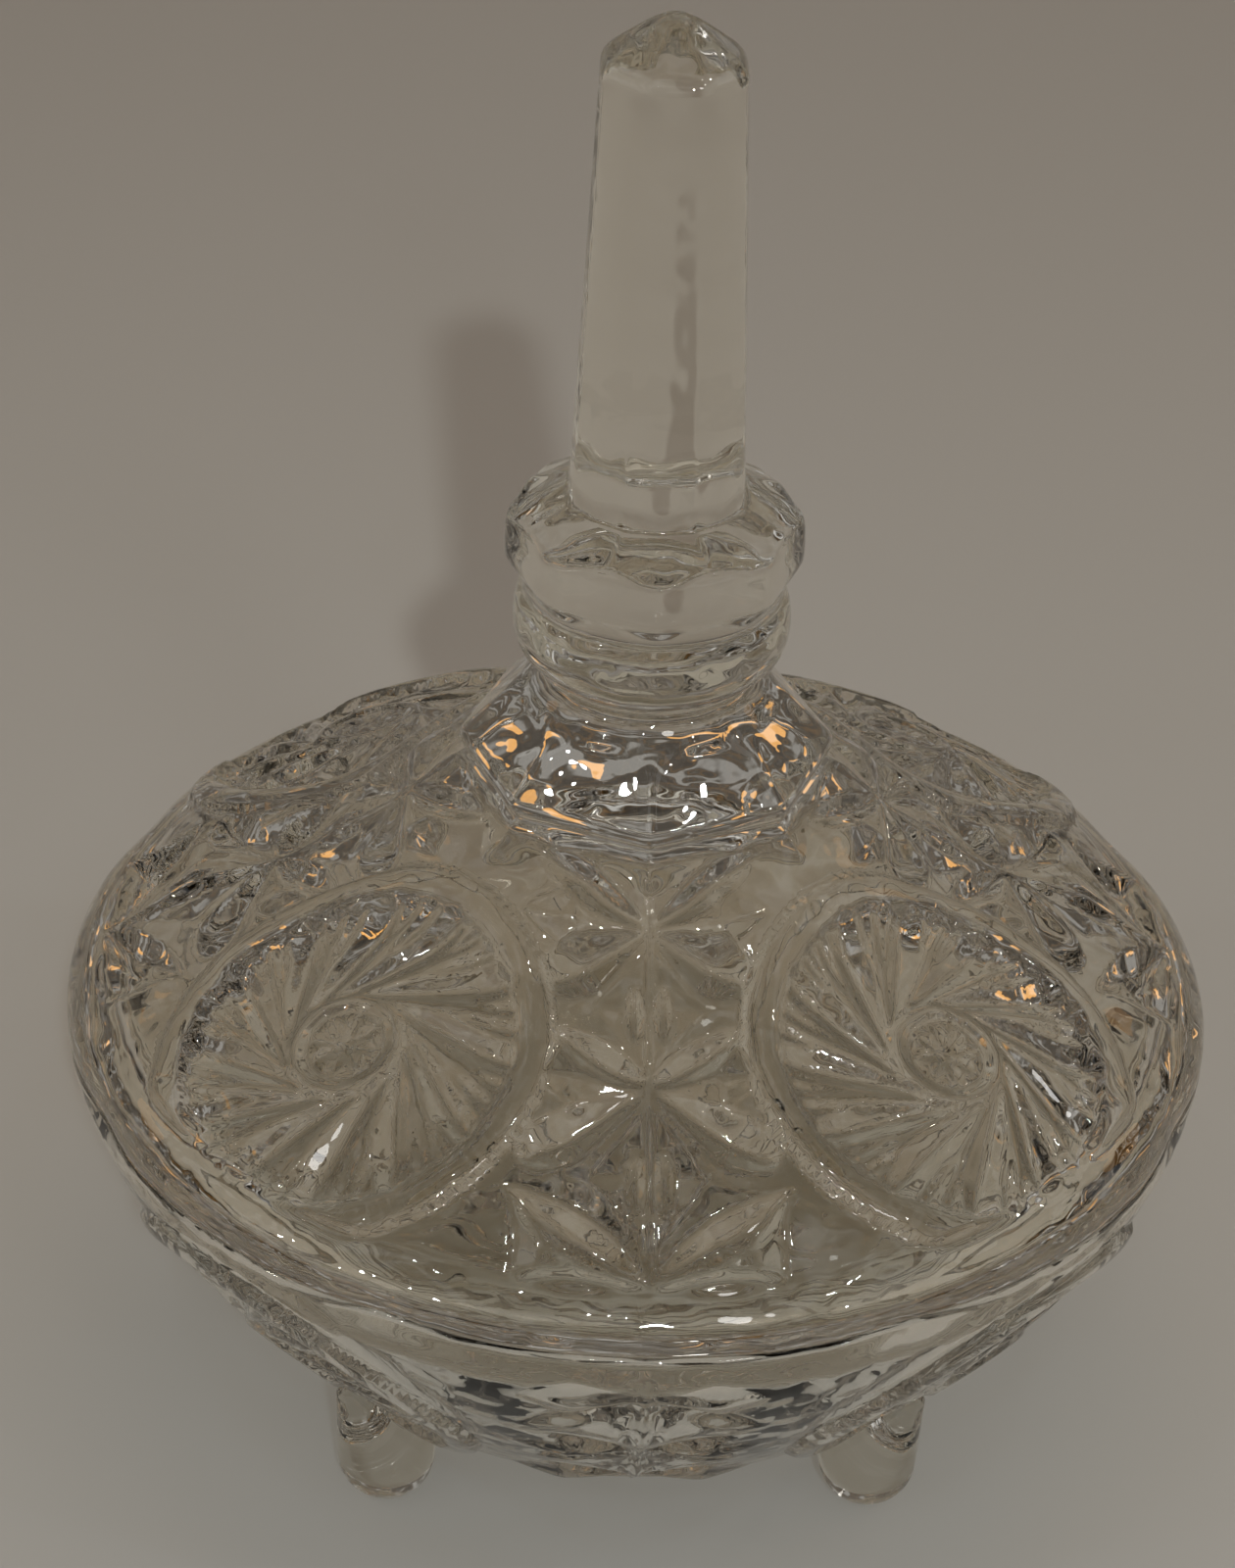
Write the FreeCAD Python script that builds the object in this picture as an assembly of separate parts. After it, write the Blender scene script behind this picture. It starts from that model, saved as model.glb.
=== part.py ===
import FreeCAD, Part
import math
import os

os.makedirs("parts", exist_ok=True)

# Powder jar of pressed clear glass, in millimetres.
# Origin: centre of the circle through the feet, on the surface the jar stands on. +Z is up.
# The front is -Y: a column of stars faces it, and the feet stand at 45 degrees to it.

V = FreeCAD.Vector
AXIS = V(0, 0, 1)
ORIGIN = V(0, 0, 0)

# Shared
RIM_R = 70.0
SEAT_Z = 56.0
QUARTERS = (0, 90, 180, 270)

# Lid shell: outer and inner curves as (radius, height)
LID_OUTER = ((21.0, 90.6), (25.2, 87.2), (28.0, 84.7), (31.5, 81.4), (35.0, 78.5), (39.9, 75.8),
             (44.1, 73.9), (49.0, 71.9), (54.6, 69.1), (60.5, 65.6), (65.2, 62.3))
LID_INNER = ((62.6, 57.6), (58.0, 61.0), (52.5, 64.2), (47.0, 67.0), (42.0, 69.0), (37.0, 71.2),
             (32.0, 74.4), (28.0, 77.8), (24.0, 80.9), (18.0, 83.9), (10.0, 85.9), (0.0, 86.5))
LIP_H = 1.4
SPIGOT_R = 65.2
SPIGOT_IN_R = 62.6
SPIGOT_DEPTH = 3.6

# Neck plate: eight-sided, under the flare of the neck
PLATE_Z = 91.8
PLATE_VERTEX_R = 22.4
PLATE_EDGE_H = 1.4
PLATE_TOP_Z = 99.2
PLATE_TOP_VERTEX_R = 16.4

# Neck and round collar
NECK_R = 12.4
NECK_TOP_Z = 116.0
RING_Z = 109.1
RING_R = 16.2
RING_HALF_H = 5.0

# Faceted collar
COLLAR_LOW_Z = 117.2
COLLAR_SIDE_Z = 123.2
COLLAR_TOP_Z = 125.9
COLLAR_R = 17.4
COLLAR_FOOT_R = 14.6

# Finial: eight-sided, tapered, with a pyramid tip
COLUMN_LOW_R = 11.1
COLUMN_TOP_Z = 176.8
COLUMN_TOP_R = 8.75
SHOULDER_Z = 178.7
SHOULDER_R = 8.1
TIP_Z = 183.8
TIP_R = 1.7

# Bowl shell: outer and inner curves as (radius, height)
BOWL_OUTER = ((69.7, 53.6), (67.6, 47.2), (64.8, 41.6), (61.0, 35.4), (56.8, 29.6), (52.2, 24.0),
              (45.2, 16.0), (38.0, 9.4), (33.5, 6.9))
BOWL_INNER = ((65.7, 50.6), (63.2, 45.6), (60.0, 40.4), (56.8, 35.6), (52.6, 30.4), (48.0, 25.0),
              (41.5, 18.8), (34.5, 14.2), (26.0, 11.6), (14.0, 10.4), (0.0, 10.1))
BOWL_BASE_Z = 5.8
MOUTH_R = 65.9

# Feet: four balls with a pointed shoulder up the wall
FOOT_RING_R = 42.4
FOOT_BALL_R = 6.1
FOOT_BALL_Z = 5.75
FOOT_TIP_R = 49.6
FOOT_TIP_Z = 20.6

# Pressed pattern. Medallions stand between the star columns, each with a raised rim and hub.
LID_MEDAL_R = 49.0
BOWL_MEDAL_R = 57.5
MEDAL_OUT_R = 24.2
MEDAL_IN_R = 20.6
MEDAL_RAISE = 1.0
HUB_OUT_R = 6.8
HUB_IN_R = 5.4
VANES = 12
VANE_OUT_R = 19.9
VANE_SWEEP = 66.0
VANE_DEPTH = 1.2
HUB_CUT = 4.6

# Star arms: centre radius on the wall, then (sideways, up the wall) to each arm's end, depth, width
LID_STARS = (
    (28.0, ((13.6, 8.6, 1.0, 1.7), (11.2, -7.6, 1.2, 2.6))),
    (44.1, ((9.4, 5.4, 1.0, 2.0), (13.6, -10.4, 1.1, 2.4))),
    (63.6, ((14.6, 8.2, 1.2, 1.8),)),
)
BOWL_STARS = (
    (66.4, ((14.0, 8.0, 1.1, 1.8), (13.0, -9.0, 1.1, 2.2))),
    (56.0, ((9.4, 5.0, 1.0, 2.0), (9.4, -8.0, 1.0, 2.0))),
)


def face_of(edges):
    return Part.Face(Part.Wire(edges))


def at(r, z):
    return V(r, 0, z)


def curve(points):
    line = Part.BSplineCurve()
    line.interpolate([at(r, z) for r, z in points])
    return line.toShape()


def segment(a, b):
    return Part.LineSegment(at(*a), at(*b)).toShape()


def spin(edges):
    return face_of(edges).revolve(ORIGIN, AXIS, 360)


def octagon(radius, z, turn=0.0):
    points = []
    for i in range(9):
        a = math.radians(turn + 45.0 * (i % 8))
        points.append(V(radius * math.cos(a), radius * math.sin(a), z))
    return Part.makePolygon(points)


def between(sections):
    return Part.makeLoft(sections, True, True)


def lid_shell():
    lip_top = (RIM_R, SEAT_Z + LIP_H)
    lip = (RIM_R, SEAT_Z)
    spigot = (SPIGOT_R, SEAT_Z)
    spigot_low = (SPIGOT_R - 0.3, SEAT_Z - SPIGOT_DEPTH)
    spigot_in = (SPIGOT_IN_R, SEAT_Z - SPIGOT_DEPTH)
    band = Part.Arc(at(*LID_OUTER[-1]), at(68.3, 59.7), at(*lip_top)).toShape()
    edges = [curve(LID_OUTER), band, segment(lip_top, lip), segment(lip, spigot)]
    edges += [segment(spigot, spigot_low), segment(spigot_low, spigot_in)]
    edges += [segment(spigot_in, LID_INNER[0]), curve(LID_INNER)]
    edges += [segment(LID_INNER[-1], (0.0, LID_OUTER[0][1])), segment((0.0, LID_OUTER[0][1]), LID_OUTER[0])]
    return spin(edges)


def neck_plate():
    flare_low = (26.0, PLATE_Z)
    flare_out = (26.0, 95.6)
    flare_in = (NECK_R, 103.4)
    flare = Part.Arc(at(*flare_out), at(16.0, 98.6), at(*flare_in)).toShape()
    axis_low = (0.0, PLATE_Z)
    axis_top = (0.0, flare_in[1])
    round_part = spin([segment(axis_low, flare_low), segment(flare_low, flare_out), flare,
                       segment(flare_in, axis_top), segment(axis_top, axis_low)])
    edge = between([octagon(PLATE_VERTEX_R, PLATE_Z), octagon(PLATE_VERTEX_R, PLATE_Z + PLATE_EDGE_H)])
    slope = between([octagon(PLATE_VERTEX_R, PLATE_Z + PLATE_EDGE_H),
                     octagon(PLATE_TOP_VERTEX_R, PLATE_TOP_Z)])
    top = Part.makeCylinder(PLATE_TOP_VERTEX_R, 6.0, V(0, 0, PLATE_TOP_Z), AXIS)
    foot = between([octagon(PLATE_VERTEX_R - 2.2, PLATE_Z - 2.6), octagon(PLATE_VERTEX_R, PLATE_Z)])
    return round_part.common(edge.fuse(slope).fuse(top)).fuse(foot)


def neck():
    return Part.makeCylinder(NECK_R, NECK_TOP_Z - 100.0, V(0, 0, 100.0), AXIS)


def round_collar():
    low = (NECK_R - 1.0, RING_Z - RING_HALF_H)
    high = (NECK_R - 1.0, RING_Z + RING_HALF_H)
    profile = [(12.2, RING_Z - RING_HALF_H), (14.9, RING_Z - 3.3), (RING_R, RING_Z),
               (15.9, RING_Z + 3.1), (14.9, RING_Z + RING_HALF_H)]
    edges = [segment(low, profile[0]), curve(profile), segment(profile[-1], high), segment(high, low)]
    return spin(edges)


def faceted_collar():
    low = (0.0, COLLAR_LOW_Z - 3.2)
    high = (0.0, COLLAR_TOP_Z)
    foot = (COLLAR_FOOT_R, COLLAR_LOW_Z - 3.2)
    side_low = (COLLAR_R, COLLAR_LOW_Z + 0.4)
    side_high = (COLLAR_R, COLLAR_SIDE_Z)
    shoulder = (COLUMN_LOW_R - 0.4, COLLAR_TOP_Z)
    under = Part.Arc(at(*foot), at(16.2, COLLAR_LOW_Z - 1.7), at(*side_low)).toShape()
    edges = [segment(low, foot), under, segment(side_low, side_high), segment(side_high, shoulder)]
    edges += [segment(shoulder, high), segment(high, low)]
    body = spin(edges)
    side = between([octagon(COLLAR_R + 0.3, COLLAR_LOW_Z - 3.4), octagon(COLLAR_R + 0.3, COLLAR_TOP_Z + 1.0)])
    bevel = between([octagon(19.4, COLLAR_LOW_Z - 3.4, 22.5), octagon(19.4, COLLAR_SIDE_Z - 0.6, 22.5),
                     octagon(COLUMN_LOW_R - 0.1, COLLAR_TOP_Z, 22.5)])
    return body.common(side).common(bevel)


def finial():
    column = between([octagon(COLUMN_LOW_R, COLLAR_TOP_Z - 1.2, 22.5), octagon(COLUMN_TOP_R, COLUMN_TOP_Z, 22.5)])
    shoulder = between([octagon(COLUMN_TOP_R, COLUMN_TOP_Z, 22.5), octagon(SHOULDER_R, SHOULDER_Z, 22.5)])
    tip = between([octagon(SHOULDER_R, SHOULDER_Z, 22.5), octagon(TIP_R, TIP_Z, 22.5)])
    return column.fuse(shoulder).fuse(tip)


def bowl_shell():
    lip = (RIM_R, SEAT_Z)
    lip_low = (RIM_R, SEAT_Z - 1.4)
    mouth = (MOUTH_R, SEAT_Z)
    base_out = (30.0, BOWL_BASE_Z)
    base = (0.0, BOWL_BASE_Z)
    edges = [segment(lip, lip_low), segment(lip_low, BOWL_OUTER[0]), curve(BOWL_OUTER)]
    edges += [segment(BOWL_OUTER[-1], base_out), segment(base_out, base), segment(base, BOWL_INNER[-1])]
    edges += [curve(BOWL_INNER), segment(BOWL_INNER[0], mouth), segment(mouth, lip)]
    return spin(edges)


def foot():
    ball = Part.makeSphere(FOOT_BALL_R, V(FOOT_RING_R, 0, FOOT_BALL_Z))
    start = V(FOOT_RING_R, 0, FOOT_BALL_Z)
    end = V(FOOT_TIP_R, 0, FOOT_TIP_Z)
    run = end.sub(start)
    length = run.Length
    run.normalize()
    # A cone tangent to the ball, so the shoulder runs into it without an edge
    sine = (FOOT_BALL_R - 0.8) / length
    cosine = math.sqrt(1.0 - sine * sine)
    base = start.add(V(run).multiply(FOOT_BALL_R * sine))
    reach = length - FOOT_BALL_R * sine
    cone = Part.makeCone(FOOT_BALL_R * cosine, 0.8 * cosine, reach, base, run)
    floor = Part.makeBox(40, 40, 20, V(FOOT_RING_R - 20, -20, -20))
    return ball.fuse(cone).cut(floor)


def wall_table(points):
    """Stations along a shell's outer curve: arc length, point and outward normal, from its first point."""
    line = Part.BSplineCurve()
    line.interpolate([at(r, z) for r, z in points])
    first = line.FirstParameter
    last = line.LastParameter
    table = []
    length = 0.0
    before = None
    for i in range(401):
        u = first + (last - first) * i / 400.0
        point = line.value(u)
        tangent = line.tangent(u)[0]
        normal = V(abs(tangent.z), 0, tangent.x if tangent.z < 0 else -tangent.x)
        if before is not None:
            length += point.distanceToPoint(before)
        table.append((length, point, normal))
        before = point
    return table


def wall_at(table, radius):
    return min(table, key=lambda row: abs(row[1].x - radius))


def wall_point(table, length, side):
    """The point `length` along the curve and `side` around the wall from it, with its normal."""
    row = min(table, key=lambda entry: abs(entry[0] - length))
    turn = FreeCAD.Rotation(AXIS, math.degrees(side / row[1].x))
    return turn.multVec(row[1]), turn.multVec(row[2])


def grown(table, raise_by):
    """A solid of revolution whose wall lies `raise_by` outside a shell's outer curve."""
    out = []
    for row in table[::10]:
        out.append((row[1].x + row[2].x * raise_by, row[1].z + row[2].z * raise_by))
    first = (0.0, out[0][1])
    last = (0.0, out[-1][1])
    return spin([curve(out), segment(out[-1], last), segment(last, first), segment(first, out[0])])


def medal_tubes(table, radius):
    """Tubes that pick out the raised rim and hub ring of one medallion."""
    row = wall_at(table, radius)
    start = row[1].sub(V(row[2]).multiply(12.0))
    tubes = []
    for outer, inner in ((MEDAL_OUT_R, MEDAL_IN_R), (HUB_OUT_R, HUB_IN_R)):
        tube = Part.makeCylinder(outer, 24.0, start, row[2])
        tubes.append(tube.cut(Part.makeCylinder(inner, 24.0, start, row[2])))
    return tubes


def leaf(table, length, way, a, b, depth, width):
    """A leaf-shaped V groove from a to b, as a flat-sided cutter with a keel.

    a and b are (sideways, up the wall) from the station at `length`. `way` is -1 where up the wall
    runs back along the table, and +1 where it runs on. `width` is the groove's half width over its depth.
    """
    start, start_n = wall_point(table, length + way * a[1], a[0])
    end, end_n = wall_point(table, length + way * b[1], b[0])
    middle, normal = wall_point(table, length + way * (a[1] + b[1]) / 2.0, (a[0] + b[0]) / 2.0)
    across = normal.cross(end.sub(start))
    across.normalize()
    clear = 0.8
    half = width * (depth + clear)
    tip_a = start.add(V(start_n).multiply(0.12))
    tip_b = end.add(V(end_n).multiply(0.12))
    keel = middle.sub(V(normal).multiply(depth))
    left = middle.add(V(normal).multiply(clear)).add(V(across).multiply(half))
    right = middle.add(V(normal).multiply(clear)).sub(V(across).multiply(half))
    top = middle.add(V(normal).multiply(3.0))
    faces = []
    for peak in (keel, top):
        for one, two in ((tip_a, left), (left, tip_b), (tip_b, right), (right, tip_a)):
            faces.append(Part.Face(Part.makePolygon([peak, one, two, peak])))
    return Part.Solid(Part.Shell(faces))


def vanes(table, radius, way):
    length = wall_at(table, radius)[0]
    cuts = []
    for i in range(VANES):
        a = 2.0 * math.pi * i / VANES
        b = a - math.radians(VANE_SWEEP)
        inner = (HUB_OUT_R * math.cos(a), HUB_OUT_R * math.sin(a))
        outer = (VANE_OUT_R * math.cos(b), VANE_OUT_R * math.sin(b))
        cuts.append(leaf(table, length, way, inner, outer, VANE_DEPTH, 1.6))
    h = HUB_CUT * math.sqrt(0.5)
    cuts.append(leaf(table, length, way, (-h, -h), (h, h), 0.8, 1.4))
    cuts.append(leaf(table, length, way, (-h, h), (h, -h), 0.8, 1.4))
    return cuts


def stars(table, rows, way):
    cuts = []
    for radius, arms in rows:
        length = wall_at(table, radius)[0]
        for side, up, depth, width in arms:
            cuts.append(leaf(table, length, way, (0.0, 0.0), (side, up), depth, width))
            cuts.append(leaf(table, length, way, (0.0, 0.0), (-side, up), depth, width))
    return cuts


def turned(shape, angle):
    copy = shape.copy()
    copy.rotate(ORIGIN, AXIS, angle)
    return copy


def patterned(shell, points, medal_radius, rows, way):
    """The shell with four raised medallions, their vanes, and four star columns between them."""
    table = wall_table(points)
    skin = grown(table, MEDAL_RAISE).cut(grown(table, -MEDAL_RAISE))
    rings = [tube.common(skin) for tube in medal_tubes(table, medal_radius)]
    shape = shell.fuse([turned(ring, quarter + 45) for quarter in QUARTERS for ring in rings])
    swirl = vanes(table, medal_radius, way)
    arms = stars(table, rows, way)
    for quarter in QUARTERS:
        shape = shape.cut([turned(cut, quarter) for cut in arms])
        shape = shape.cut([turned(cut, quarter + 45) for cut in swirl])
    return shape


lid = patterned(lid_shell(), LID_OUTER, LID_MEDAL_R, LID_STARS, -1)
lid = lid.fuse([neck_plate(), neck(), round_collar(), faceted_collar(), finial()]).removeSplitter()
bowl = patterned(bowl_shell(), BOWL_OUTER, BOWL_MEDAL_R, BOWL_STARS, -1)
bowl = bowl.fuse([turned(foot(), quarter + 45) for quarter in QUARTERS]).removeSplitter()

for name, shape in (("lid", lid), ("bowl", bowl)):
    print(name, len(shape.Solids), shape.isValid(), round(shape.Volume), len(shape.Faces))
    shape.exportStep("parts/" + name + ".step")
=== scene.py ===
import math

import bmesh
import bpy
import numpy as np
from mathutils import Matrix, Vector


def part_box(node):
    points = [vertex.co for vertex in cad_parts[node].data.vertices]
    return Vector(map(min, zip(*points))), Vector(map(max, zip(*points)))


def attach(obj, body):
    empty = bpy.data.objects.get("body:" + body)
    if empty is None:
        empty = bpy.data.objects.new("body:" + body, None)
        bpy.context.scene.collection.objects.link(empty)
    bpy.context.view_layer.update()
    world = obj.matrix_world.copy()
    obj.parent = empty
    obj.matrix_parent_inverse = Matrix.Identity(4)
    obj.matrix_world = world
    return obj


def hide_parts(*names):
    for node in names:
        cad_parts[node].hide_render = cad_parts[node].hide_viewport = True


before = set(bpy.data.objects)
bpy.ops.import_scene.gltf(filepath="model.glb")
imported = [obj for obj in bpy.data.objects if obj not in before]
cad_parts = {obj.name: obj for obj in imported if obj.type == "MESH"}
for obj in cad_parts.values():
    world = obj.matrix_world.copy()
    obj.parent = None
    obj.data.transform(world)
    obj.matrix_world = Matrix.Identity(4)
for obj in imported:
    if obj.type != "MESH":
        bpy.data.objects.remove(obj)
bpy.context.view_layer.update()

# Powder jar of pressed clear glass: lid and bowl, each one moulding with its pattern in relief.
# Lengths below are in millimetres and are turned to metres when a mesh is made.

MM = 0.001
SEAT_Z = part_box("bowl")[1][2] / MM
TIP_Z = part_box("lid")[1][2] / MM

LID_OUTER = [(65.9, 62.0), (60.5, 65.6), (54.6, 69.1), (49.0, 71.9), (44.1, 73.9), (39.9, 75.8),
             (35.0, 78.5), (31.5, 81.4), (28.0, 84.7), (25.2, 87.2), (22.6, 89.3)]
LID_INNER = [(62.6, 57.6), (58.0, 61.0), (52.5, 64.2), (47.0, 67.0), (42.0, 69.0), (37.0, 71.2),
             (32.0, 74.4), (28.0, 77.8), (24.0, 80.9), (18.0, 83.9), (10.0, 85.9), (3.0, 86.45)]
BOWL_OUTER = [(33.5, 6.9), (38.0, 9.4), (45.2, 16.0), (52.2, 24.0), (56.8, 29.6), (61.0, 35.4),
              (64.8, 41.6), (67.6, 47.2), (69.4, 52.4)]
BOWL_INNER = [(65.7, 50.6), (63.2, 45.6), (60.0, 40.4), (56.8, 35.6), (52.6, 30.4), (48.0, 25.0),
              (41.5, 18.8), (34.5, 14.2), (26.0, 11.6), (14.0, 10.4), (3.0, 10.12)]

LID_MEDAL_R = 49.0
BOWL_MEDAL_R = 57.5

# Azimuths round the patterned walls, the neck and the plain insides, and the spacing of the walls' rings
FINE = 576
MEDIUM = 192
COARSE = 96
WALL_STEP = 0.52

# Base of the bowl, and the rays cut into its underside
BASE_Z = 5.85
RAY_DEPTH = 1.7
RAY_PITCH = 15.0

# Feet
BALL_R = 6.1
FOOT_TIP_R = 0.8
FOOT_SIDES = 40


# ---------------------------------------------------------------- curves

def resample(points, step):
    """Smooth curve through points, sampled evenly by arc length."""
    p = np.array(points, float)
    ends = np.vstack([2 * p[0] - p[1], p, 2 * p[-1] - p[-2]])
    dense = []
    for i in range(1, len(ends) - 2):
        a, b, c, d = ends[i - 1:i + 3]
        for t in np.linspace(0, 1, 60, endpoint=False):
            dense.append(0.5 * (2 * b + (c - a) * t + (2 * a - 5 * b + 4 * c - d) * t * t
                                + (3 * b - 3 * c + d - a) * t ** 3))
    dense.append(p[-1])
    dense = np.array(dense)
    s = np.concatenate([[0], np.cumsum(np.hypot(*np.diff(dense, axis=0).T))])
    n = max(2, int(round(s[-1] / step)) + 1)
    at = np.linspace(0, s[-1], n)
    return np.stack([np.interp(at, s, dense[:, 0]), np.interp(at, s, dense[:, 1])], 1)


def smooth_step(x, a, b):
    t = np.clip((x - a) / (b - a), 0, 1)
    return t * t * (3 - 2 * t)


def soft_min(a, b, k):
    h = np.clip(0.5 + 0.5 * (b - a) / k, 0, 1)
    return b * (1 - h) + a * h - k * h * (1 - h)


def octagon(az, corner, turn, soft=0.0, hollow=0.0):
    """Radius of an eight-sided section at each azimuth. turn is the azimuth of a corner, in degrees.
    hollow is how far the middle of each side is sunk."""
    a = (az - turn + 22.5) % 45 - 22.5
    flat = corner * math.cos(math.pi / 8)
    r = flat / np.cos(np.radians(22.5 - np.abs(a)))
    if soft:
        r = soft_min(r, np.full_like(r, corner - 0.35 * soft), soft)
    return r - hollow * (1 - (a / 22.5) ** 2) ** 2


# ---------------------------------------------------------------- relief

def groove(x, y, a, b, half_width, depth, blunt=0.0, soft=0.22):
    """Depth of a leaf-shaped V cut from a to b at each point (x, y).

    blunt moves its widest part towards b.
    """
    a, b = np.array(a, float), np.array(b, float)
    length = np.hypot(*(b - a))
    u = (b - a) / length
    l = ((x - a[0]) * u[0] + (y - a[1]) * u[1]) / length
    d = np.abs(-(x - a[0]) * u[1] + (y - a[1]) * u[0])
    l = np.clip(l, 0, 1)
    if blunt:
        tail = np.clip((l - blunt) / (1 - blunt), 0, 1)
        lens = np.minimum((l / blunt), 1.0) * np.sqrt(np.clip(1 - tail ** 2, 0, 1))
        lens = np.where(l < blunt, (l / blunt) ** 0.8, lens)
    else:
        lens = 1 - (2 * l - 1) ** 2
    w = np.maximum(half_width * lens, 1e-6)
    d = np.sqrt(d * d + soft * soft) - soft * 0.4
    return np.where((l > 0) & (l < 1), depth * np.clip(lens * (1 - d / w), 0, None), 0.0)


def medallion(x, y):
    """Relief of one medallion in its own plane, in millimetres outwards. Vanes leave the hub clockwise."""
    rho = np.hypot(x, y)
    rim = 1.15 * np.sqrt(np.clip(1 - ((rho - 22.3) / 2.35) ** 2, 0, 1)) ** 0.8
    floor = -0.25 * (1 - smooth_step(rho, 19.0, 20.8))
    h = np.maximum(rim, floor) * (rho < 24.8)
    hub = 0.75 * np.sqrt(np.clip(1 - ((rho - 6.1) / 1.1) ** 2, 0, 1))
    h = np.maximum(h, np.where(rho < 7.4, hub + floor, -9))
    cut = np.zeros_like(x)
    for k in range(12):
        a = math.radians(30 * k + 4)
        start = (6.9 * math.cos(a), 6.9 * math.sin(a))
        b = a - math.radians(67)
        end = (20.6 * math.cos(b), 20.6 * math.sin(b))
        cut = np.maximum(cut, groove(x, y, start, end, 2.7, 2.0, blunt=0.74))
        for part, reach, width in ((0.40, 0.48, 1.2), (0.68, 0.36, 1.0)):
            c = a + math.radians(30 * part)
            d = c - math.radians(67)
            tip = np.array((20.3 * math.cos(d), 20.3 * math.sin(d)))
            root = np.array((6.9 * math.cos(c), 6.9 * math.sin(c)))
            fan = groove(x, y, tip + (root - tip) * reach, tip, width, 0.8, blunt=0.6, soft=0.12)
            cut = np.maximum(cut, fan)
    h = h - np.where((rho > 6.6) & (rho < 21.2), cut, 0)
    star = np.zeros_like(x)
    for a in (20, 65, 110, 155):
        c, s = 4.6 * math.cos(math.radians(a)), 4.6 * math.sin(math.radians(a))
        star = np.maximum(star, groove(x, y, (-c, -s), (c, s), 1.1, 0.7, soft=0.15))
    dome = 0.5 * np.sqrt(np.clip(1 - (rho / 5.0) ** 2, 0, 1))
    h = np.where(rho < 5.0, floor + dome - star, h)
    return h


def pyramid(x, y, cx, cy, half_x, half_y, height):
    """A raised lozenge with its point softened."""
    d = np.abs(x - cx) / half_x + np.abs(y - cy) / half_y
    return height * np.clip(1 - np.sqrt(d * d + 0.02), 0, 1)


def column(x, y, stars, pillows, wedge):
    """Relief of one star column. stars: (y of centre, arms as (sideways, up, half width, depth, blunt))."""
    cut = np.zeros_like(x)
    h = np.zeros_like(x)
    ax = np.abs(x)
    for centre, arms in stars:
        for side, up, width, depth, blunt in arms:
            cut = np.maximum(cut, groove(ax, y, (0, centre), (side, centre + up), width, depth, blunt=blunt))
        h = np.maximum(h, pyramid(ax, y, 8.2, centre + 0.3, 6.4, 4.6, 1.1))
    for low, high in pillows:
        mid = 0.5 * (low + high)
        h = np.maximum(h, pyramid(ax, y, 0, mid, 6.6, 0.5 * (high - low), 1.3))
        half = 0.28 * (high - low)
        cut = np.maximum(cut, groove(ax, y, (1.7, mid - half), (1.7, mid + half * 0.6), 0.9, 0.8, soft=0.12))
    h = np.where(cut > 0.02, np.minimum(h, 0.35), h) - cut
    if wedge is not None:
        centre, side, up = wedge
        upper = (centre + up * ax / side - y) * 0.85
        h = h - np.clip(np.minimum(np.minimum(upper, (y - centre + 0.6) * 0.8), (side - ax) * 0.6), 0, 1.9)
    # Mould seam
    h = h + 0.22 * np.exp(-(x / 0.3) ** 2)
    return h


def relief(curve, az, medal_r, stars, pillows, wedge, fade_in, fade_out):
    """Height field on a grid of curve stations by azimuths."""
    r = curve[:, 0][:, None]
    z = curve[:, 1][:, None]
    s = np.concatenate([[0], np.cumsum(np.hypot(*np.diff(curve, axis=0).T))])[:, None]
    i = int(np.argmin(np.abs(curve[:, 0] - medal_r)))
    tangent = curve[min(i + 2, len(curve) - 1)] - curve[max(i - 2, 0)]
    tangent = tangent / np.hypot(*tangent)
    if tangent[1] < 0:
        tangent = -tangent
    rc, zc = curve[i]
    am = np.radians(az % 90 - 45)[None, :]
    x = r * np.sin(am)
    y = (r * np.cos(am) - rc) * tangent[0] + (z - zc) * tangent[1]
    h = medallion(x, y)
    outside = np.hypot(x, y) > 24.4
    a0 = np.radians((az + 45) % 90 - 45)[None, :]
    x0 = r * np.sin(a0)
    y0 = np.broadcast_to(s, x0.shape)
    c = column(x0, y0, stars, pillows, wedge)
    h = np.where(outside, np.minimum(h, 0) + c, h)
    total = s[-1, 0]
    fade = smooth_step(s, 0, fade_in) * (1 - smooth_step(s, total - fade_out, total))
    return h * fade


# ---------------------------------------------------------------- meshes

def ring_points(r, z, az):
    a = np.radians(az)
    r = np.broadcast_to(r, a.shape)
    z = np.broadcast_to(z, a.shape)
    # Azimuth 0 is the front, -Y, and it grows towards +X
    return np.stack([r * np.sin(a), -r * np.cos(a), z], 1)


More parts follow.
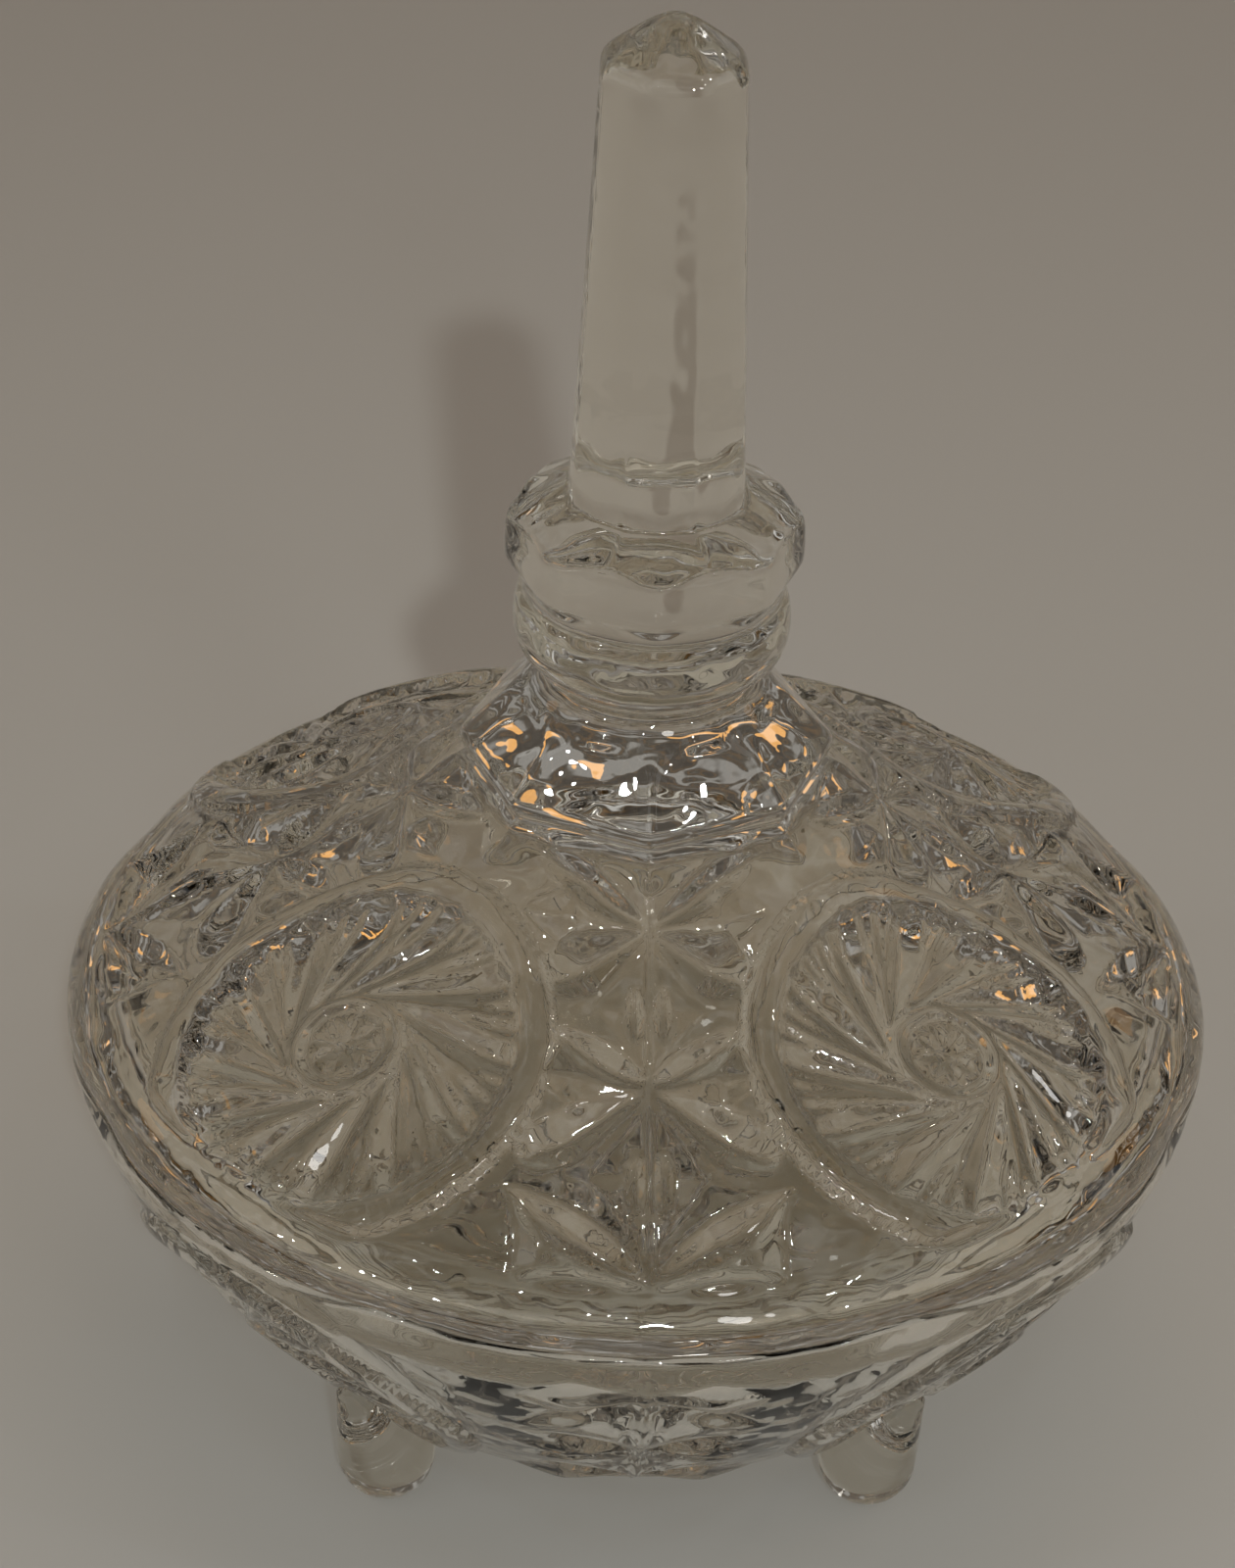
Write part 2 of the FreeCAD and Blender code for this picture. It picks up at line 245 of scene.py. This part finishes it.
class Skin:
    """A closed skin of rings around +Z, built from one pole to the other."""

    def __init__(self):
        self.verts = []
        self.faces = []
        self.count = 0
        self.last = None

    def ring(self, points):
        start = self.count
        n = len(points)
        self.verts.append(points)
        self.count += n
        new = np.arange(start, start + n)
        if self.last is not None:
            self.join(self.last, new)
        self.last = new
        return new

    def join(self, a, b):
        na, nb = len(a), len(b)
        if na == nb:
            for i in range(na):
                j = (i + 1) % na
                self.faces.append((a[i], a[j], b[j], b[i]))
        elif na > nb:
            k = na // nb
            for i in range(nb):
                j = (i + 1) % nb
                low = [a[(i * k + m) % na] for m in range(k + 1)]
                half = (k + 1) // 2
                for m in range(half):
                    self.faces.append((low[m], low[m + 1], b[i]))
                self.faces.append((low[half], b[j], b[i]))
                for m in range(half, k):
                    self.faces.append((low[m], low[m + 1], b[j]))
        else:
            k = nb // na
            for i in range(na):
                j = (i + 1) % na
                high = [b[(i * k + m) % nb] for m in range(k + 1)]
                half = (k + 1) // 2
                for m in range(half):
                    self.faces.append((high[m + 1], high[m], a[i]))
                self.faces.append((high[half], a[i], a[j]))
                for m in range(half, k):
                    self.faces.append((high[m + 1], high[m], a[j]))

    def close(self, z, ring, first):
        tip = self.count
        self.verts.append(np.array([[0, 0, z]]))
        self.count += 1
        n = len(ring)
        for i in range(n):
            j = (i + 1) % n
            if first:
                self.faces.append((ring[j], ring[i], tip))
            else:
                self.faces.append((ring[i], ring[j], tip))

    def mesh(self, name):
        v = np.vstack(self.verts) * MM
        m = bpy.data.meshes.new(name)
        m.from_pydata(v.tolist(), [], [tuple(int(i) for i in f) for f in self.faces])
        m.validate()
        bm = bmesh.new()
        bm.from_mesh(m)
        bmesh.ops.recalc_face_normals(bm, faces=bm.faces)
        bm.to_mesh(m)
        bm.free()
        return m


def azimuths(n):
    return np.arange(n) * 360.0 / n


def dome_rings(skin, curve, az, heights, lobes=None):
    """Rings of a patterned wall: the curve moved along its normal by the relief."""
    t = np.gradient(curve, axis=0)
    t = t / np.hypot(t[:, 0], t[:, 1])[:, None]
    normal = np.stack([np.abs(t[:, 1]), np.abs(t[:, 0])], 1)
    if np.mean(t[:, 0] * t[:, 1]) > 0:
        normal[:, 1] = -normal[:, 1]
    for i in range(len(curve)):
        h = heights[i]
        r = curve[i, 0] + normal[i, 0] * h
        z = curve[i, 1] + normal[i, 1] * h
        if lobes is not None:
            r = r + lobes[i]
        skin.ring(ring_points(r, z, az))


def rim_lobes(az):
    """The rim's outline draws in a little where a medallion meets a star column."""
    a = np.abs((az + 45) % 90 - 45)
    return -0.75 * np.exp(-((a - 24) / 5.5) ** 2)


def lid_mesh():
    skin = Skin()
    az_in = azimuths(COARSE)
    az = azimuths(FINE)
    # Underside, from its crown out to the locating ring
    inner = resample(LID_INNER[::-1], 2.6)
    first = skin.ring(ring_points(inner[0, 0], inner[0, 1], az_in))
    skin.close(86.5, first, True)
    for r, z in inner[1:]:
        skin.ring(ring_points(r, z, az_in))
    for r, z in ((62.6, 54.6), (62.65, 53.0), (63.0, 52.5), (63.8, 52.4), (64.5, 52.5), (64.9, 52.9),
                 (65.15, 54.6), (65.2, 55.75), (65.5, 56.05)):
        skin.ring(ring_points(r, z, azimuths(MEDIUM)))
    lobe = rim_lobes(az)
    for r, z, part in ((66.6, 56.08, 0.0), (69.2, 56.1, 0.8), (69.75, 56.25, 1.0), (69.98, 56.7, 1.0),
                       (69.98, 57.3, 1.0), (69.75, 58.0, 1.0), (69.25, 58.9, 1.0), (68.5, 59.9, 0.95),
                       (67.6, 60.8, 0.8), (66.8, 61.45, 0.5)):
        skin.ring(ring_points(r + lobe * part, z, az))
    # Patterned dome
    curve = resample(LID_OUTER, WALL_STEP)
    s = np.concatenate([[0], np.cumsum(np.hypot(*np.diff(curve, axis=0).T))])

    def station(radius):
        return float(np.interp(-radius, -curve[:, 0], s))

    s1, s2, s3 = station(28.4), station(44.1), station(64.9)
    stars = ((s1, ((15.6, 10.2, 2.1, 2.1, 0), (12.0, -7.6, 3.3, 2.5, 0.6))),
             (s2, ((11.0, 6.4, 2.3, 2.1, 0), (14.6, -10.8, 3.0, 2.4, 0.65))),
             (s3, ((16.4, 9.6, 2.6, 2.3, 0),)))
    pillows = ((s2 + 1.5, s1 - 1.5), (s3 + 3.0, s2 - 2.0))
    height = relief(curve, az, LID_MEDAL_R, stars, pillows, (s3, 15.0, 8.6), 1.2, 2.5)
    # The last rings run from a circle into the eight-sided foot of the neck plate
    n = len(curve)
    shift = np.zeros((n, FINE))
    foot = octagon(az, 20.9, 0) - 20.9 + 0.8
    for i in range(n):
        w = float(smooth_step(np.array(s[i]), s[-1] - 4.5, s[-1]))
        shift[i] = w * (foot * 0.9)
    dome_rings(skin, curve, az, height, shift)
    # Neck plate
    az_p = azimuths(MEDIUM)
    for corner, z in ((21.6, 90.5), (22.1, 91.2), (22.4, 91.9), (22.45, 92.6), (22.3, 93.2)):
        skin.ring(ring_points(octagon(az_p, corner, 0, 0.5), z, az_p))
    flare = resample([(26.0, 95.6), (21.0, 96.6), (17.6, 98.2), (15.0, 99.9), (13.2, 101.9),
                      (12.4, 103.4)], 0.2)
    for z in (93.6, 94.1, 94.7, 95.4, 96.1, 96.8, 97.5, 98.1, 98.7, 99.3, 99.9, 100.6, 101.4, 102.3, 103.2):
        r_flare = float(np.interp(z, flare[:, 1], flare[:, 0])) if z > 95.6 else 30.0
        r_oct = octagon(az_p, 22.3 - (z - 93.2) * 0.98, 0, 0.35)
        if z > 99.5:
            r_oct = np.full(MEDIUM, 30.0)
        skin.ring(ring_points(soft_min(r_oct, np.full(MEDIUM, r_flare), 0.5), z, az_p))
    # Neck, round collar and the waist under the faceted collar
    for r, z in resample([(12.4, 103.8), (12.9, 104.3), (14.2, 105.0), (15.5, 106.4),
                          (16.15, 108.3), (16.25, 110.2),
                          (16.0, 112.0), (15.4, 113.4), (15.0, 114.1)], 0.8):
        skin.ring(ring_points(r, z, az_p))
    # Faceted collar: a round body, eight bevels over it that line up with the finial's sides, and a
    # lower edge with its corners at the star columns
    for r, z, k in ((15.2, 114.6, 0.1), (15.8, 115.4, 0.4), (16.5, 116.3, 0.8), (17.0, 117.0, 1.0),
                    (17.3, 117.7, 1.0),
                    (17.35, 118.6, 1.0), (17.35, 119.6, 1.0), (17.3, 120.6, 1.0), (17.25, 121.5, 1.0),
                    (17.15, 122.2, 1.0), (16.95, 122.8, 1.0)):
        edge = soft_min(octagon(az_p, r + 0.45 * k, 0, 0.6), np.full(MEDIUM, r + 0.12), 0.4)
        skin.ring(ring_points(r + (edge - r) * k, z, az_p))
    for t in np.linspace(0.05, 1.0, 13):
        z = 122.9 + t * 3.0
        corner = 18.0 + (11.1 - 18.0) * t
        bevel = octagon(az_p, corner, 22.5, 0.2)
        cap = soft_min(octagon(az_p, 17.3, 0, 0.6), np.full(MEDIUM, 17.0), 0.4)
        skin.ring(ring_points(soft_min(bevel, cap, 0.5), z, az_p))
    # Finial
    for t in np.linspace(0.0, 1.0, 15):
        z = 126.3 + t * (176.6 - 126.3)
        corner = 10.95 + (8.75 - 10.95) * t
        skin.ring(ring_points(octagon(az_p, corner, 22.5, 0.4, 0.22), z, az_p))
    for corner, z in ((8.7, 177.2), (8.6, 177.8), (8.35, 178.4), (7.9, 179.05), (7.2, 179.7), (6.0, 180.6),
                      (4.8, 181.5), (3.7, 182.3), (2.7, 182.95), (1.8, 183.4), (1.0, 183.68)):
        skin.ring(ring_points(octagon(az_p, corner, 22.5, min(0.35, corner * 0.2)), z, az_p))
    skin.close(TIP_Z, skin.last, False)
    return skin.mesh("lid_glass")


def bowl_mesh():
    skin = Skin()
    az = azimuths(FINE)
    az_m = azimuths(MEDIUM)
    az_in = azimuths(COARSE)
    # Rayed star cut into the underside
    ray = np.abs((az / RAY_PITCH) % 1.0 - 0.5) * 2
    first = None
    for r in (2.0, 3.0, 4.5, 6.5, 9.0, 12.0, 15.0, 18.0, 21.0, 23.5, 25.5, 27.0, 28.2, 29.0, 30.0, 32.0):
        reach = min(1.0, r / 9.0) * (1 - float(smooth_step(np.array(r), 22.0, 29.0)))
        edge = (0.1 if r > 29.5 else 0.0) + (0.35 if r > 31 else 0.0)
        z = BASE_Z + RAY_DEPTH * reach * np.clip(1.1 - ray, 0, 1) + edge
        new = skin.ring(ring_points(r, z, az))
        if first is None:
            first = new
            skin.close(BASE_Z, first, True)
            skin.last = new
    curve = resample(BOWL_OUTER, WALL_STEP)
    s = np.concatenate([[0], np.cumsum(np.hypot(*np.diff(curve, axis=0).T))])

    def station(radius):
        return float(np.interp(radius, curve[:, 0], s))

    s1, s2, s3 = station(67.9), station(59.0), station(46.5)
    stars = ((s1, ((14.0, -9.0, 2.4, 1.8, 0),)),
             (s2, ((11.0, 6.4, 1.9, 1.7, 0), (11.0, -7.0, 2.9, 1.8, 0.72))),
             (s3, ((11.0, 7.6, 1.9, 1.6, 0), (8.0, -7.0, 1.9, 1.4, 0))))
    pillows = ((s3 + 2.5, s2 - 2.0), (s2 + 2.0, s1 - 2.0))
    height = relief(curve, az, BOWL_MEDAL_R, stars, pillows, None, 2.0, 1.5)
    dome_rings(skin, curve, az, height)
    lobe = rim_lobes(az)
    for r, z, part in ((69.7, 53.6, 0.3), (69.9, 54.5, 0.8), (69.98, 55.3, 1.0), (69.8, 55.8, 1.0),
                       (69.3, 56.0, 0.8),
                       (67.2, 56.0, 0.0)):
        skin.ring(ring_points(r + lobe * part, z, az))
    for r, z in ((66.2, 55.9), (65.95, 55.4), (65.9, 54.0)):
        skin.ring(ring_points(r, z, az_m))
    for r, z in resample(BOWL_INNER, 2.6):
        skin.ring(ring_points(r, z, az_in))
    skin.close(10.1, skin.last, False)
    return skin.mesh("bowl_glass")


def foot_mesh():
    """A ball foot with a pointed shoulder, ground flat where it stands."""
    ball = Vector((42.4, 0, 5.75))
    tip = Vector((49.6, 0, 20.6))
    run = (tip - ball)
    length = run.length
    run.normalize()
    sine = (BALL_R - FOOT_TIP_R) / length
    turn = math.asin(sine)
    rows = []
    for t in np.linspace(-math.pi / 2, turn, 16)[1:]:
        rows.append((BALL_R * math.cos(t), BALL_R * math.sin(t)))
    for t in (0.2, 0.4, 0.6, 0.8, 0.92):
        r0, h0 = BALL_R * math.cos(turn), BALL_R * math.sin(turn)
        r1, h1 = FOOT_TIP_R * math.cos(turn), length + FOOT_TIP_R * math.sin(turn)
        rows.append((r0 + (r1 - r0) * t, h0 + (h1 - h0) * t))
    side = Vector((0, 1, 0))
    ahead = side.cross(run)
    verts = [ball - run * BALL_R]
    for r, h in rows:
        for i in range(FOOT_SIDES):
            a = 2 * math.pi * i / FOOT_SIDES
            verts.append(ball + run * h + (side * math.cos(a) + ahead * math.sin(a)) * r)
    verts.append(ball + run * (length + 0.2))
    for v in verts:
        v.z = max(v.z, 0.0)
    faces = []
    for i in range(FOOT_SIDES):
        j = (i + 1) % FOOT_SIDES
        faces.append((0, 1 + j, 1 + i))
        for k in range(len(rows) - 1):
            a, b = 1 + FOOT_SIDES * k, 1 + FOOT_SIDES * (k + 1)
            faces.append((a + i, a + j, b + j, b + i))
        end = 1 + FOOT_SIDES * (len(rows) - 1)
        faces.append((end + i, end + j, len(verts) - 1))
    m = bpy.data.meshes.new("foot")
    m.from_pydata([tuple(v * MM) for v in verts], [], faces)
    bm = bmesh.new()
    bm.from_mesh(m)
    bmesh.ops.recalc_face_normals(bm, faces=bm.faces)
    bm.to_mesh(m)
    bm.free()
    return m


def put(mesh, name):
    o = bpy.data.objects.new(name, mesh)
    bpy.context.scene.collection.objects.link(o)
    return o


def united(base, parts):
    for p in parts:
        mod = base.modifiers.new("join", "BOOLEAN")
        mod.operation = "UNION"
        mod.solver = "EXACT"
        mod.object = p
    dg = bpy.context.evaluated_depsgraph_get()
    dg.update()
    mesh = bpy.data.meshes.new_from_object(base.evaluated_get(dg))
    base.modifiers.clear()
    base.data = mesh
    for p in parts:
        bpy.data.objects.remove(p)


# ---------------------------------------------------------------- materials

def glass(name):
    m = bpy.data.materials.new(name)
    m.use_nodes = True
    nt = m.node_tree
    nt.nodes.clear()
    out = nt.nodes.new("ShaderNodeOutputMaterial")
    body = nt.nodes.new("ShaderNodeBsdfPrincipled")
    body.inputs["Base Color"].default_value = (0.955, 0.93, 0.86, 1)
    body.inputs["Roughness"].default_value = 0.015
    body.inputs["IOR"].default_value = 1.53
    body.inputs["Specular IOR Level"].default_value = 0.85
    body.inputs["Transmission Weight"].default_value = 1.0
    # Faint flow marks of pressed glass
    coords = nt.nodes.new("ShaderNodeTexCoord")
    noise = nt.nodes.new("ShaderNodeTexNoise")
    noise.inputs["Scale"].default_value = 170.0
    noise.inputs["Detail"].default_value = 1.0
    bump = nt.nodes.new("ShaderNodeBump")
    bump.inputs["Strength"].default_value = 0.6
    bump.inputs["Distance"].default_value = 0.0005
    nt.links.new(coords.outputs["Object"], noise.inputs["Vector"])
    nt.links.new(noise.outputs["Fac"], bump.inputs["Height"])
    nt.links.new(bump.outputs["Normal"], body.inputs["Normal"])
    # Shadow rays meet a transparent shader instead of the glass, so lamp light reaches the floor without a
    # black shadow; its colour is a painted shadow set by height: pale below 95 mm, dark brown above 110 mm
    # over the neck and finial
    clear = nt.nodes.new("ShaderNodeBsdfTransparent")
    height = nt.nodes.new("ShaderNodeSeparateXYZ")
    painted_shadow_by_height = nt.nodes.new("ShaderNodeMapRange")
    painted_shadow_color = nt.nodes.new("ShaderNodeMix")
    painted_shadow_color.data_type = "RGBA"
    nt.links.new(coords.outputs["Object"], height.inputs["Vector"])
    nt.links.new(height.outputs["Z"], painted_shadow_by_height.inputs["Value"])
    painted_shadow_by_height.inputs["From Min"].default_value = 0.095
    painted_shadow_by_height.inputs["From Max"].default_value = 0.110
    # Painted shadow colours: pale for the dome and bowl, dark brown for the neck and finial
    painted_shadow_color.inputs[6].default_value = (0.88, 0.86, 0.83, 1)
    painted_shadow_color.inputs[7].default_value = (0.24, 0.17, 0.10, 1)
    nt.links.new(painted_shadow_by_height.outputs["Result"], painted_shadow_color.inputs["Factor"])
    nt.links.new(painted_shadow_color.outputs[2], clear.inputs["Color"])
    mix = nt.nodes.new("ShaderNodeMixShader")
    path = nt.nodes.new("ShaderNodeLightPath")
    nt.links.new(path.outputs["Is Shadow Ray"], mix.inputs["Fac"])
    nt.links.new(body.outputs["BSDF"], mix.inputs[1])
    nt.links.new(clear.outputs["BSDF"], mix.inputs[2])
    nt.links.new(mix.outputs["Shader"], out.inputs["Surface"])
    return m


lid_glass = glass("lid_glass")
bowl_glass = glass("bowl_glass")

lid = put(lid_mesh(), "lid")
lid.data.materials.append(lid_glass)
bowl = put(bowl_mesh(), "bowl")
feet = []
for q in (45, 135, 225, 315):
    f = put(foot_mesh(), "foot")
    f.matrix_world = Matrix.Rotation(math.radians(q), 4, "Z")
    feet.append(f)
bpy.context.view_layer.update()
united(bowl, feet)
bowl.data.materials.clear()
bowl.data.materials.append(bowl_glass)
for o in (lid, bowl):
    for p in o.data.polygons:
        p.use_smooth = True

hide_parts("lid")
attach(lid, "lid")
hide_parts("bowl")
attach(bowl, "bowl")

# ---------------------------------------------------------------- floor, light and camera

bpy.ops.mesh.primitive_plane_add(size=16.0, location=(0, 0, 0))
floor = bpy.context.object
floor.name = "floor"
fm = bpy.data.materials.new("floor")
fm.use_nodes = True
fb = fm.node_tree.nodes["Principled BSDF"]
fb.inputs["Base Color"].default_value = (0.55, 0.535, 0.50, 1)
fb.inputs["Roughness"].default_value = 0.9
fb.inputs["Specular IOR Level"].default_value = 0.1
floor.data.materials.append(fm)


def area(name, where, target, size, power, color):
    light = bpy.data.lights.new(name, "AREA")
    light.shape = "DISK"
    light.size = size
    light.energy = power
    light.color = color
    o = bpy.data.objects.new(name, light)
    o.location = where
    o.rotation_euler = (Vector(target) - Vector(where)).to_track_quat("-Z", "Y").to_euler()
    bpy.context.scene.collection.objects.link(o)
    return o


AIM = (0, 0, 0.07)
FLASH = (0.92, 0.97, 1.0)
LAMP = (1.0, 0.9, 0.75)
AMBER = (1.0, 0.50, 0.14)
SPARKS = (("a", (-0.05, -0.60, 0.66), 0.016, 0.20), ("b", (0.06, -0.62, 0.50), 0.016, 0.13),
          ("c", (-0.42, -0.35, 0.68), 0.022, 0.16), ("d", (0.42, -0.35, 0.68), 0.022, 0.16),
          ("e", (-0.20, -0.30, 0.85), 0.022, 0.16), ("f", (0.22, -0.28, 0.85), 0.022, 0.16),
          ("g", (-0.50, -0.50, 0.42), 0.022, 0.13), ("h", (0.50, -0.50, 0.42), 0.022, 0.13))
WARMS = (("a", (-0.30, 0.75, 0.62), (0, 0, 0.09), 0.17), ("b", (0.28, 0.75, 0.62), (0, 0, 0.09), 0.17),
         ("c", (-0.70, 0.20, 0.35), AIM, 0.16), ("d", (0.70, 0.20, 0.35), AIM, 0.16))

lights = [area("key", (0.075, -0.995, 0.80), AIM, 0.035, 4.7, (0.96, 0.97, 0.93))]
# Small lamps for the glints along the cut edges
lights += [area("spark_" + key, where, AIM, size, power, FLASH) for key, where, size, power in SPARKS]
# Dim amber lamps that the glass picks up as warm patches
lights += [area("warm_" + key, where, target, size, 0.06, AMBER) for key, where, target, size in WARMS]
lights += [
    area("front_soft", (0.32, -0.85, 0.86), AIM, 0.16, 0.6, (1.0, 0.99, 0.97)),
    area("right", (0.75, 0.05, 0.75), (0, 0, 0.06), 0.03, 0.3, LAMP),
    area("left", (-0.8, -0.3, 0.6), (0, 0, 0.06), 0.03, 0.22, LAMP),
    area("soft_top", (0.1, 0.1, 1.4), (0, 0, 0.05), 1.0, 1.0, (1.0, 0.62, 0.35)),
]
for lamp in lights:
    lamp.visible_camera = False
lights[-1].visible_glossy = False
lights[-1].visible_transmission = False

world = bpy.data.worlds.new("world")
bpy.context.scene.world = world
world.use_nodes = True
wn = world.node_tree
bg = wn.nodes["Background"]
tc = wn.nodes.new("ShaderNodeTexCoord")
noise = wn.nodes.new("ShaderNodeTexNoise")
noise.inputs["Scale"].default_value = 5.2
noise.inputs["Detail"].default_value = 1.0
ramp = wn.nodes.new("ShaderNodeValToRGB")
wn.links.new(tc.outputs["Generated"], noise.inputs["Vector"])
wn.links.new(noise.outputs["Fac"], ramp.inputs["Fac"])
stops = ((0.42, (0.008, 0.007, 0.004, 1)), (0.45, (0.60, 0.30, 0.07, 1)), (0.49, (0.06, 0.05, 0.03, 1)),
         (0.55, (0.32, 0.29, 0.24, 1)), (0.60, (1.8, 1.8, 1.8, 1)))
ramp.color_ramp.elements[0].position, ramp.color_ramp.elements[0].color = stops[0]
ramp.color_ramp.elements[1].position, ramp.color_ramp.elements[1].color = stops[-1]
for at, color in stops[1:-1]:
    e = ramp.color_ramp.elements.new(at)
    e.color = color
# The room is even behind the jar and mixed in front of it
split = wn.nodes.new("ShaderNodeSeparateXYZ")
wn.links.new(tc.outputs["Generated"], split.inputs["Vector"])
side_mix = wn.nodes.new("ShaderNodeMapRange")
side_mix.inputs["From Min"].default_value = 0.15
side_mix.inputs["From Max"].default_value = 0.6
side_mix.inputs["To Max"].default_value = 0.65
wn.links.new(split.outputs["Y"], side_mix.inputs["Value"])
room = wn.nodes.new("ShaderNodeMix")
room.data_type = "RGBA"
room.inputs[7].default_value = (0.36, 0.32, 0.28, 1)
wn.links.new(side_mix.outputs["Result"], room.inputs["Factor"])
wn.links.new(ramp.outputs["Color"], room.inputs[6])
wn.links.new(room.outputs[2], bg.inputs["Color"])
plain = wn.nodes.new("ShaderNodeBackground")
plain.inputs["Color"].default_value = (0.27, 0.255, 0.24, 1)
seen = wn.nodes.new("ShaderNodeLightPath")
choose = wn.nodes.new("ShaderNodeMixShader")
wn.links.new(seen.outputs["Is Camera Ray"], choose.inputs["Fac"])
wn.links.new(bg.outputs["Background"], choose.inputs[1])
wn.links.new(plain.outputs["Background"], choose.inputs[2])
wn.links.new(choose.outputs["Shader"], wn.nodes["World Output"].inputs["Surface"])
bg.inputs["Strength"].default_value = 0.32

# The camera looks down from the front at 36 degrees, a little to the left of a star column, with the
# jar's top leaning right
FOCAL = 4022.8
WIDTH, HEIGHT = 1260, 1600
DISTANCE = 0.490
ELEVATION = math.radians(36.03)
AZIMUTH = math.radians(-2.5)
ROLL = math.radians(2.42)
PIXEL = (649.0, 1004.5)

cam_data = bpy.data.cameras.new("camera")
cam_data.sensor_fit = "AUTO"
cam_data.sensor_width = 36.0
cam_data.lens = FOCAL * 36.0 / HEIGHT
cam = bpy.data.objects.new("camera", cam_data)
bpy.context.scene.collection.objects.link(cam)
back = Vector((math.sin(AZIMUTH) * math.cos(ELEVATION), -math.cos(AZIMUTH) * math.cos(ELEVATION),
               math.sin(ELEVATION)))
target = Vector((0, 0, SEAT_Z * MM))
cam.location = target + back * DISTANCE
right = Vector((math.cos(AZIMUTH), math.sin(AZIMUTH), 0))
up = back.cross(right)
basis = Matrix((right, up, back)).transposed()
dx = math.atan((PIXEL[0] - WIDTH / 2) / FOCAL)
dy = math.atan((PIXEL[1] - HEIGHT / 2) / FOCAL)
aim = basis @ Matrix.Rotation(ROLL, 3, "Z") @ Matrix.Rotation(dx, 3, "Y") @ Matrix.Rotation(dy, 3, "X")
cam.rotation_euler = aim.to_euler()
cam_data.clip_start = 0.01
bpy.context.scene.camera = cam

scene = bpy.context.scene
scene.view_settings.view_transform = "Standard"
scene.cycles.max_bounces = 18
scene.cycles.transmission_bounces = 18
scene.cycles.glossy_bounces = 8
scene.cycles.transparent_max_bounces = 24
scene.cycles.caustics_reflective = False
scene.cycles.caustics_refractive = False
scene.cycles.sample_clamp_indirect = 4.0
scene.cycles.use_denoising = True
